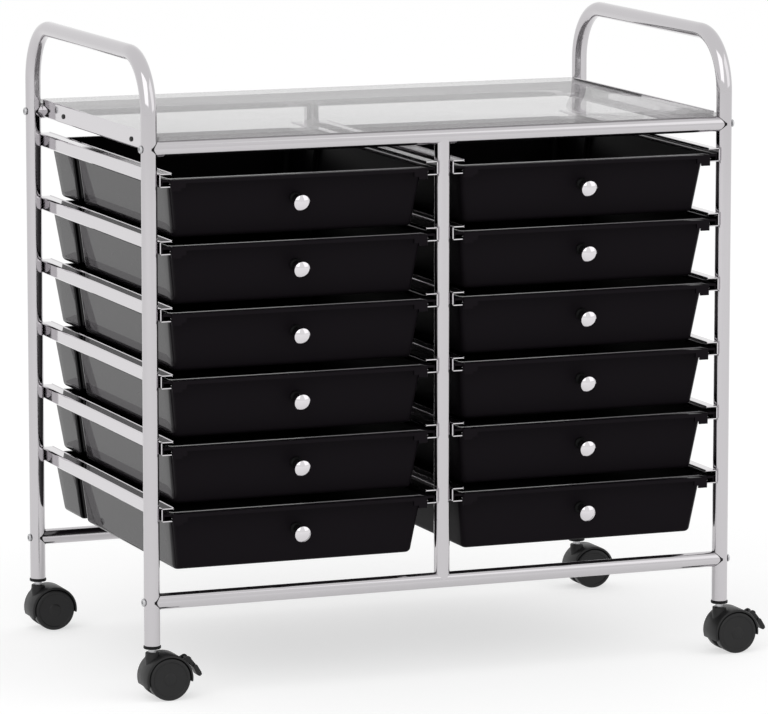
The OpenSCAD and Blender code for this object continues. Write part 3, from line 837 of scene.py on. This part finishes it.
def lever_mesh():
    """A brake lever: a curved arm from its pin down to a wide, rounded pedal."""
    px, pz = pin_place()
    arm_half, pedal_half, pin_half = 4.2, 5.5, 6.9
    arm = arc(px, pz, 2.35, 40, 215, 8) + [(26.6, 9.4), (28.0, 8.0), (31.0, 8.8), (30.5, 11.5), (26.5, 16.5)]
    pedal = [(26.9, 10.2, 1.5), (32.4, -0.6, 2.0), (36.8, -1.2, 1.6), (36.6, 2.6, 1.4), (30.8, 12.2, 2)]
    side = [(1.2, -pin_half), (1.45, 0.3 - pin_half), (1.45, pin_half - 0.3), (1.2, pin_half)]
    pin = moved(turned([(0, -pin_half)] + side + [(0, pin_half)], 20),
                Matrix.Translation((px * MM, 0, pz * MM)) @ Matrix.Rotation(math.radians(90), 4, "X"))
    arm = soften(prism(arm, -arm_half, arm_half), 0.5, 2, 40)
    pedal = soften(prism(rounded(pedal, 1, 4), -pedal_half, pedal_half), 0.7, 2, 40)
    return as_mesh("lever", combined("UNION", arm, pedal, pin))


def casters():
    """Four casters, the front two with brakes; each wheel turns on its own."""
    wheel, lever = wheel_mesh(), lever_mesh()
    housings = {-1: housing_mesh(True), 1: housing_mesh(False)}
    slot = "soft_black_plastic"
    for s in SIDES:
        for e in SIDES:
            corner = "%s_%s" % (END_NAMES[e], SIDE_NAMES[s])
            hub = Matrix.Translation((LEG_X[s] + TRAIL, e * LEG_Y, WHEEL_R))
            node = "caster_housing_" + corner
            piece(node + "_hood", placed(housings[e], hub), CASTER_BLACK, corner + "_swivel", slot, node)
            for letter, out in (("a", -1), ("b", 1)):
                node = "wheel_%s_%s" % (letter, corner)
                body = "%s_wheel_%s" % (corner, letter)
                turn = Matrix.Rotation(math.radians(-90 * out), 4, "X")
                face = Matrix.Translation((0, out * WHEEL_IN, 0)) @ turn
                piece(node + "_disc", placed(wheel, hub @ face), CASTER_BLACK, body, slot, node)
            if e < 0:
                node = "brake_lever_" + SIDE_NAMES[s]
                piece(node + "_pedal", placed(lever, hub), CASTER_BLACK, SIDE_NAMES[s] + "_brake", slot, node)


def dress_kept_solids():
    """Finishes for the solids whose own shape is right."""
    for name, thing in frame["nodes"].items():
        if name.startswith("caster_stems") or name.startswith("caster_axle"):
            finish = ZINC
        elif name == "bar_end_caps":
            finish = FITTING_BLACK
        else:
            continue
        for spot in thing.material_slots:
            spot.material = finish.material


# Studio

def floor():
    """A pale floor that keeps the cart's soft shadow."""
    size = 40
    mesh = bpy.data.meshes.new("floor")
    corners = [(-size, -size, 0), (size, -size, 0), (size, size, 0), (-size, size, 0)]
    mesh.from_pydata(corners, [], [(0, 1, 2, 3)])
    ground = loose_object("floor", mesh)
    ground.location.z = -0.2 * MM
    paint = Finish("pale floor", {
        "Base Color": (0.5, 0.5, 0.5, 1), "Roughness": 1.0, "Specular IOR Level": 0.0,
        "Emission Color": (1, 1, 1, 1), "Emission Strength": 0.59})
    mesh.materials.append(paint.material)


def world():
    """Soft light from all round, and a white background for the camera, for metal and through glass."""
    sky = bpy.data.worlds.new("studio")
    bpy.context.scene.world = sky
    sky.use_nodes = True
    graph = Graph(sky.node_tree)
    for old in list(sky.node_tree.nodes):
        sky.node_tree.nodes.remove(old)
    ray = graph.node("ShaderNodeLightPath", out="Is Camera Ray")
    seen = ray + graph.node("ShaderNodeLightPath", out="Is Glossy Ray")
    seen = seen + graph.node("ShaderNodeLightPath", out="Is Transmission Ray")
    seen = graph.node("ShaderNodeMath", {"operation": "MINIMUM"}, {0: seen, 1: 1.0})
    lit = graph.node("ShaderNodeBackground", {}, {"Color": (1, 1, 1, 1), "Strength": 0.8})
    shown = graph.node("ShaderNodeBackground", {}, {"Color": (1, 1, 1, 1), "Strength": 1.0})
    both = graph.node("ShaderNodeMixShader", {}, {0: seen, 1: lit, 2: shown})
    stop = sky.node_tree.nodes.new("ShaderNodeOutputWorld")
    graph.put(both, stop.inputs["Surface"])


def lamp(name, place, size, power):
    """A soft panel of light, in watts, turned to the cart."""
    target = (0, 0, 0.3)
    light = bpy.data.lights.new(name, "AREA")
    light.shape = "RECTANGLE"
    light.size, light.size_y = size
    light.energy = power
    made = bpy.data.objects.new(name, light)
    bpy.context.collection.objects.link(made)
    made.location = place
    made.rotation_euler = (Vector(target) - Vector(place)).to_track_quat("-Z", "Y").to_euler()


def camera():
    """The photograph's place and angle, beside the middle of the legs, turned right and down."""
    picture_width, focal_px = 768, 5355.8
    down, right = math.radians(8.875), math.radians(21.484)
    lens = bpy.data.cameras.new("camera")
    lens.sensor_width = 36
    lens.lens = focal_px * lens.sensor_width / picture_width
    lens.clip_end = 200
    made = bpy.data.objects.new("camera", lens)
    bpy.context.collection.objects.link(made)
    made.location = (MID_X - 2.0005, -5.1081, 1.1556)
    made.rotation_euler = (math.radians(90) - down, 0, -right)
    bpy.context.scene.camera = made


camera()
for side in SIDES:
    side_frame(side)
    drawer_rails(side)
    panel_rail(side)
for level, height in (("top", TOP_BAR_Z), ("bottom", LOW_BAR_Z)):
    for end in SIDES:
        cross_bar("%s_bar_%s" % (level, END_NAMES[end]), end, height)
for end in SIDES:
    centre_post(end)
frame_bolts()
leg_sockets()
top_panel()
panel_screws()
drawers_and_knobs()
casters()
dress_kept_solids()
floor()
world()
lamp("key", (-3.0, -3.5, 3.8), (5, 5), 70)
lamp("fill", (3.5, -3.0, 2.6), (4, 4), 24)

scene = bpy.context.scene
scene.view_settings.view_transform = "Standard"
